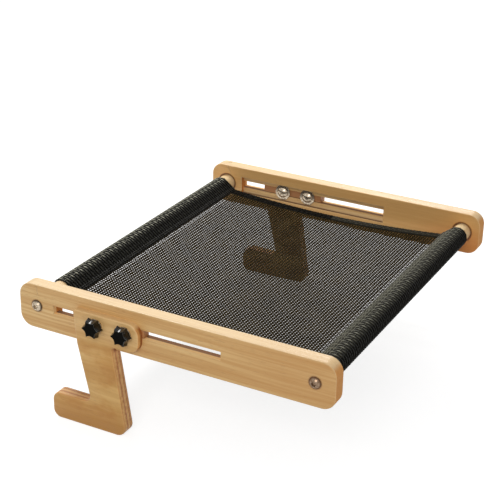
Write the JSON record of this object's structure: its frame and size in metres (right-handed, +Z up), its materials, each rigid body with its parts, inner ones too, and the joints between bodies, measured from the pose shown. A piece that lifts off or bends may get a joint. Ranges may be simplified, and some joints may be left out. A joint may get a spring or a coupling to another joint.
{
  "type": "cat hammock",
  "caption": "Wooden sill-mounted cat hammock: a mesh sling on dowels between slotted rails, held to a sill by sliding plywood hooks with star knobs.",
  "frame": {"origin": "midway between the rails and between their ends, level with the rails' undersides, where the sill's top lies", "axes": "+X along the rails, away from the sill; +Y from the front rail to the back rail; +Z up"},
  "size_m": [0.4, 0.5112, 0.161],
  "materials": {
    "rail_wood": "clear satin lacquer",
    "hook_ply": "clear satin lacquer over plywood",
    "dowel_wood": "sanded",
    "bolt_steel": "zinc plated",
    "insert_brass": "turned",
    "knob_plastic": "glossy black",
    "sling_mesh": "open weave",
    "sleeve_fabric": "doubled open weave"
  },
  "bodies": {
    "frame": {"front_rail": "rail_wood", "front_hem": "sleeve_fabric", "back_rail": "rail_wood", "back_hem": "sleeve_fabric", "left_dowel": "dowel_wood", "left_sleeve": "sleeve_fabric", "right_dowel": "dowel_wood", "right_sleeve": "sleeve_fabric", "front_left_frame_bolt": "bolt_steel", "front_left_insert": "insert_brass", "front_right_frame_bolt": "bolt_steel", "front_right_insert": "insert_brass", "back_left_frame_bolt": "bolt_steel", "back_left_insert": "insert_brass", "back_right_frame_bolt": "bolt_steel", "back_right_insert": "insert_brass", "mesh_panel": "sling_mesh"},
    "front_clamp": {"front_hook": "hook_ply", "front_key": "dowel_wood", "front_left_clamp_bolt": "bolt_steel", "front_left_slot_washer": "bolt_steel", "front_right_clamp_bolt": "bolt_steel", "front_right_slot_washer": "bolt_steel"},
    "front_left_washer_ring": {"front_left_knob_washer": "bolt_steel"},
    "front_left_star_knob": {"front_left_knob": "knob_plastic", "front_left_knob_nut": "insert_brass"},
    "front_right_washer_ring": {"front_right_knob_washer": "bolt_steel"},
    "front_right_star_knob": {"front_right_knob": "knob_plastic", "front_right_knob_nut": "insert_brass"},
    "back_clamp": {"back_hook": "hook_ply", "back_key": "dowel_wood", "back_left_clamp_bolt": "bolt_steel", "back_left_slot_washer": "bolt_steel", "back_right_clamp_bolt": "bolt_steel", "back_right_slot_washer": "bolt_steel"},
    "back_left_washer_ring": {"back_left_knob_washer": "bolt_steel"},
    "back_left_star_knob": {"back_left_knob": "knob_plastic", "back_left_knob_nut": "insert_brass"},
    "back_right_washer_ring": {"back_right_knob_washer": "bolt_steel"},
    "back_right_star_knob": {"back_right_knob": "knob_plastic", "back_right_knob_nut": "insert_brass"}
  },
  "joints": [
    {"name": "front_hook_slide", "type": "slide", "parent": "frame", "child": "front_clamp", "axis": [1, 0, 0], "range_m": [-0.032, 0.095]},
    {"name": "front_left_knob_travel", "type": "slide", "parent": "front_clamp", "child": "front_left_washer_ring", "axis": [0, -1, 0], "range_m": [0, 0.0016]},
    {"name": "front_left_knob_turn", "type": "hinge", "parent": "front_left_washer_ring", "child": "front_left_star_knob", "pos_m": [-0.09, -0.25, 0.029], "axis": [0, -1, 0], "range_deg": [0, 540]},
    {"name": "front_right_knob_travel", "type": "slide", "parent": "front_clamp", "child": "front_right_washer_ring", "axis": [0, -1, 0], "range_m": [0, 0.0016]},
    {"name": "front_right_knob_turn", "type": "hinge", "parent": "front_right_washer_ring", "child": "front_right_star_knob", "pos_m": [-0.052, -0.25, 0.029], "axis": [0, -1, 0], "range_deg": [0, 540]},
    {"name": "back_hook_slide", "type": "slide", "parent": "frame", "child": "back_clamp", "axis": [1, 0, 0], "range_m": [-0.032, 0.095]},
    {"name": "back_left_knob_travel", "type": "slide", "parent": "back_clamp", "child": "back_left_washer_ring", "axis": [0, 1, 0], "range_m": [0, 0.0016]},
    {"name": "back_left_knob_turn", "type": "hinge", "parent": "back_left_washer_ring", "child": "back_left_star_knob", "pos_m": [-0.09, 0.25, 0.029], "axis": [0, 1, 0], "range_deg": [0, 540]},
    {"name": "back_right_knob_travel", "type": "slide", "parent": "back_clamp", "child": "back_right_washer_ring", "axis": [0, 1, 0], "range_m": [0, 0.0016]},
    {"name": "back_right_knob_turn", "type": "hinge", "parent": "back_right_washer_ring", "child": "back_right_star_knob", "pos_m": [-0.052, 0.25, 0.029], "axis": [0, 1, 0], "range_deg": [0, 540]}
  ],
  "couplings": [
    {"joint": "front_left_knob_travel", "follows": "front_left_knob_turn", "m_per_rad": 0.00015915},
    {"joint": "front_right_knob_travel", "follows": "front_right_knob_turn", "m_per_rad": 0.00015915},
    {"joint": "back_left_knob_travel", "follows": "back_left_knob_turn", "m_per_rad": 0.00015915},
    {"joint": "back_right_knob_travel", "follows": "back_right_knob_turn", "m_per_rad": 0.00015915}
  ]
}
